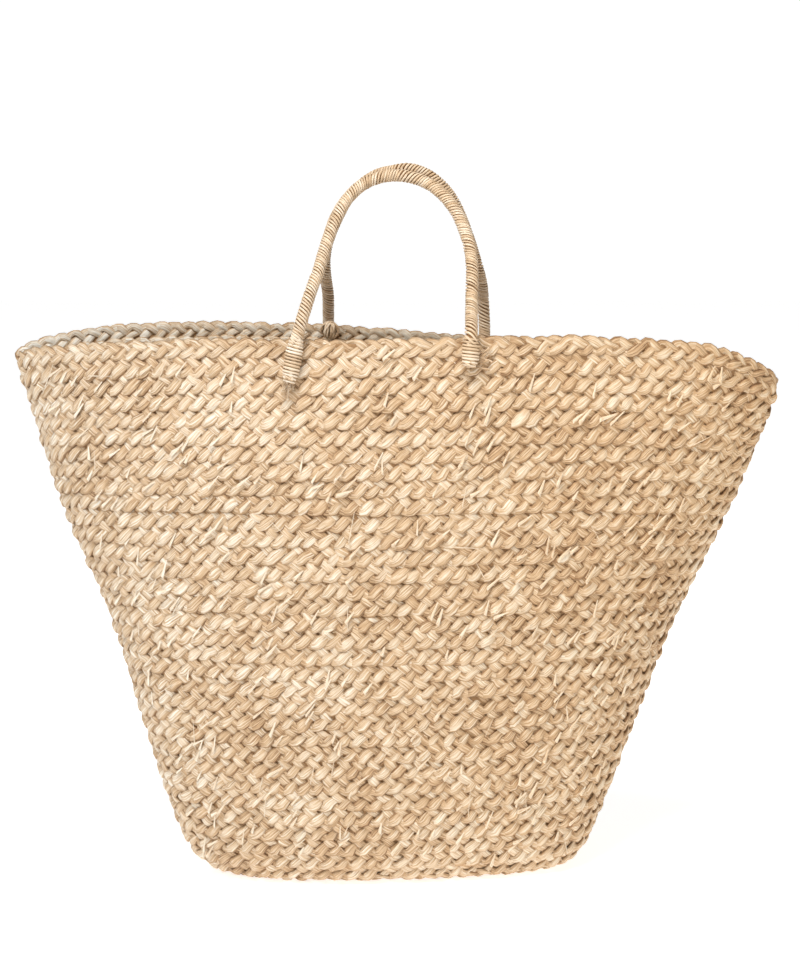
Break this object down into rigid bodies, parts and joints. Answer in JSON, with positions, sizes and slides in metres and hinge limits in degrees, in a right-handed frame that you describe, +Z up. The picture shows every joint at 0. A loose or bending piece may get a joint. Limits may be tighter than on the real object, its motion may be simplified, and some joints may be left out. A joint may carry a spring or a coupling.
{
  "type": "straw basket bag",
  "caption": "Tall flared basket bag coiled from a flat straw plait on an oval base, open at the top, with two wrapped cord loop handles lashed near the rim.",
  "frame": {"origin": "the middle of the underside of the base, on the surface that the bag stands on", "axes": "+Z up, +X along the mouth towards the corner where the plait ends, and -Y towards the near side of the picture"},
  "size_m": [0.6002, 0.194, 0.5584],
  "materials": {
    "straw_plait": "matte dry straw",
    "raffia_wrap": "satin dry raffia"
  },
  "bodies": {
    "root": {"basket_base": "straw_plait", "basket_wall": "straw_plait", "rim_braid": "straw_plait", "front_handle": "raffia_wrap", "back_handle": "raffia_wrap", "front_left_binding": "raffia_wrap", "front_left_knot": "raffia_wrap", "front_right_binding": "raffia_wrap", "front_right_knot": "raffia_wrap", "back_left_binding": "raffia_wrap", "back_left_knot": "raffia_wrap", "back_right_binding": "raffia_wrap", "back_right_knot": "raffia_wrap"}
  },
  "joints": []
}
